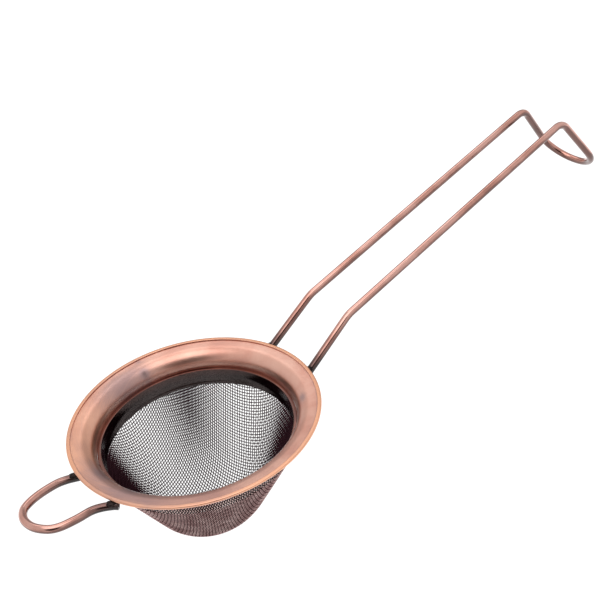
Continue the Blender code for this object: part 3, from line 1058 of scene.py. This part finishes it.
# %% [markdown]
# ## The studio
#
# A shiny metal shows what is around it, so the studio is half of the finish. Metal looks
# like metal when it reflects both light and dark: a pale room with two big soft lights,
# a dark spot where the camera stands, and a dimmer far side. The table glows by itself,
# like a light table, so the holes of the cloth are white whatever shades them. Much
# brighter than white would be too much: its light would wash the thin wires out.

# %% Table and lights
TABLE_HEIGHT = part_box("mesh_bowl")[0].z - 0.3 * MM
TABLE_GLOW = 1.06
LIGHTS = [("light_overhead", (-0.1, -0.15, 0.95), 0.9, 2.5),
          ("light_behind", (0.4, 0.65, 1.05), 0.7, 1.1)]      # place, width, watts


def make_table():
    bpy.ops.mesh.primitive_plane_add(size=6.0, location=(0, 0, TABLE_HEIGHT))
    table = bpy.context.active_object
    table.name = "white_table"
    material = bpy.data.materials.new("white_table")
    material.use_nodes = True
    shader = material.node_tree.nodes["Principled BSDF"]
    shader.inputs["Base Color"].default_value = (0.1, 0.1, 0.1, 1)
    shader.inputs["Roughness"].default_value = 0.9
    shader.inputs["Emission Color"].default_value = (1, 1, 1, 1)
    shader.inputs["Emission Strength"].default_value = TABLE_GLOW
    table.data.materials.append(material)
    return table


def soft_light(name, place, size, power):
    """A round soft light that faces the middle of the rim."""
    data = bpy.data.lights.new(name, "AREA")
    data.shape = "DISK"
    data.size = size
    data.energy = power
    light = bpy.data.objects.new(name, data)
    light.location = place
    light.rotation_euler = (-Vector(place)).to_track_quat("-Z", "Y").to_euler()
    bpy.context.scene.collection.objects.link(light)
    return light


make_table()
lights = [soft_light(*facts) for facts in LIGHTS]
print("lights:", [light.name for light in lights])

# %% The room
def grey(level):
    return (level, level, level, 1.0)


ROOM_BY_HEIGHT = [(0.0, grey(0.75)), (0.5, grey(0.88)), (1.0, grey(0.85))]
ROOM_DARK_SIDE = Vector((-0.50, -0.71, 0.50)).normalized()
ROOM_DARK_SPREAD = (0.84, 0.95)
ROOM_DARK = (0.07, 0.06, 0.06, 1.0)
ROOM_DIM_SIDE = Vector((0.63, 0.74, 0.27)).normalized()
ROOM_DIM_SPREAD = (0.82, 0.985)
ROOM_DIM = (0.40, 0.40, 0.41, 1.0)


def make_room():
    """White to the camera; to the metal, a pale room with a dark side and a dim side."""
    world = bpy.data.worlds.new("studio_room")
    bpy.context.scene.world = world
    world.use_nodes = True
    tree = world.node_tree
    background = tree.nodes["Background"]
    output = tree.nodes["World Output"]
    place = add_node(tree, "ShaderNodeTexCoord")
    split = add_node(tree, "ShaderNodeSeparateXYZ")
    tree.links.new(place.outputs["Generated"], split.inputs[0])
    height = add_node(tree, "ShaderNodeValToRGB")
    ramp = height.color_ramp
    ramp.elements[0].position, ramp.elements[0].color = ROOM_BY_HEIGHT[0]
    ramp.elements[1].position, ramp.elements[1].color = ROOM_BY_HEIGHT[-1]
    for position, colour in ROOM_BY_HEIGHT[1:-1]:
        ramp.elements.new(position).color = colour
    tree.links.new(split.outputs["Z"], height.inputs["Fac"])
    lit = height.outputs["Color"]
    for towards, spread, colour in ((ROOM_DIM_SIDE, ROOM_DIM_SPREAD, ROOM_DIM),
                                    (ROOM_DARK_SIDE, ROOM_DARK_SPREAD, ROOM_DARK)):
        facing = add_node(tree, "ShaderNodeVectorMath", operation="DOT_PRODUCT")
        facing.inputs[1].default_value = towards
        tree.links.new(place.outputs["Generated"], facing.inputs[0])
        dark = soft_step(tree, facing.outputs["Value"], *spread)
        shade = add_node(tree, "ShaderNodeRGB")
        shade.outputs[0].default_value = colour
        lit = mix_colours(tree, dark, lit, shade.outputs[0])
    tree.links.new(lit, background.inputs["Color"])
    plain = add_node(tree, "ShaderNodeBackground")
    plain.inputs["Color"].default_value = (1, 1, 1, 1)
    ray = add_node(tree, "ShaderNodeLightPath")
    pick = add_node(tree, "ShaderNodeMixShader")
    tree.links.new(ray.outputs["Is Camera Ray"], pick.inputs["Fac"])
    tree.links.new(background.outputs[0], pick.inputs[1])
    tree.links.new(plain.outputs[0], pick.inputs[2])
    tree.links.new(pick.outputs[0], output.inputs["Surface"])
    return world


make_room()
bpy.context.scene.view_settings.view_transform = "Standard"
print("studio ready, table at", round(TABLE_HEIGHT / MM, 1), "mm")
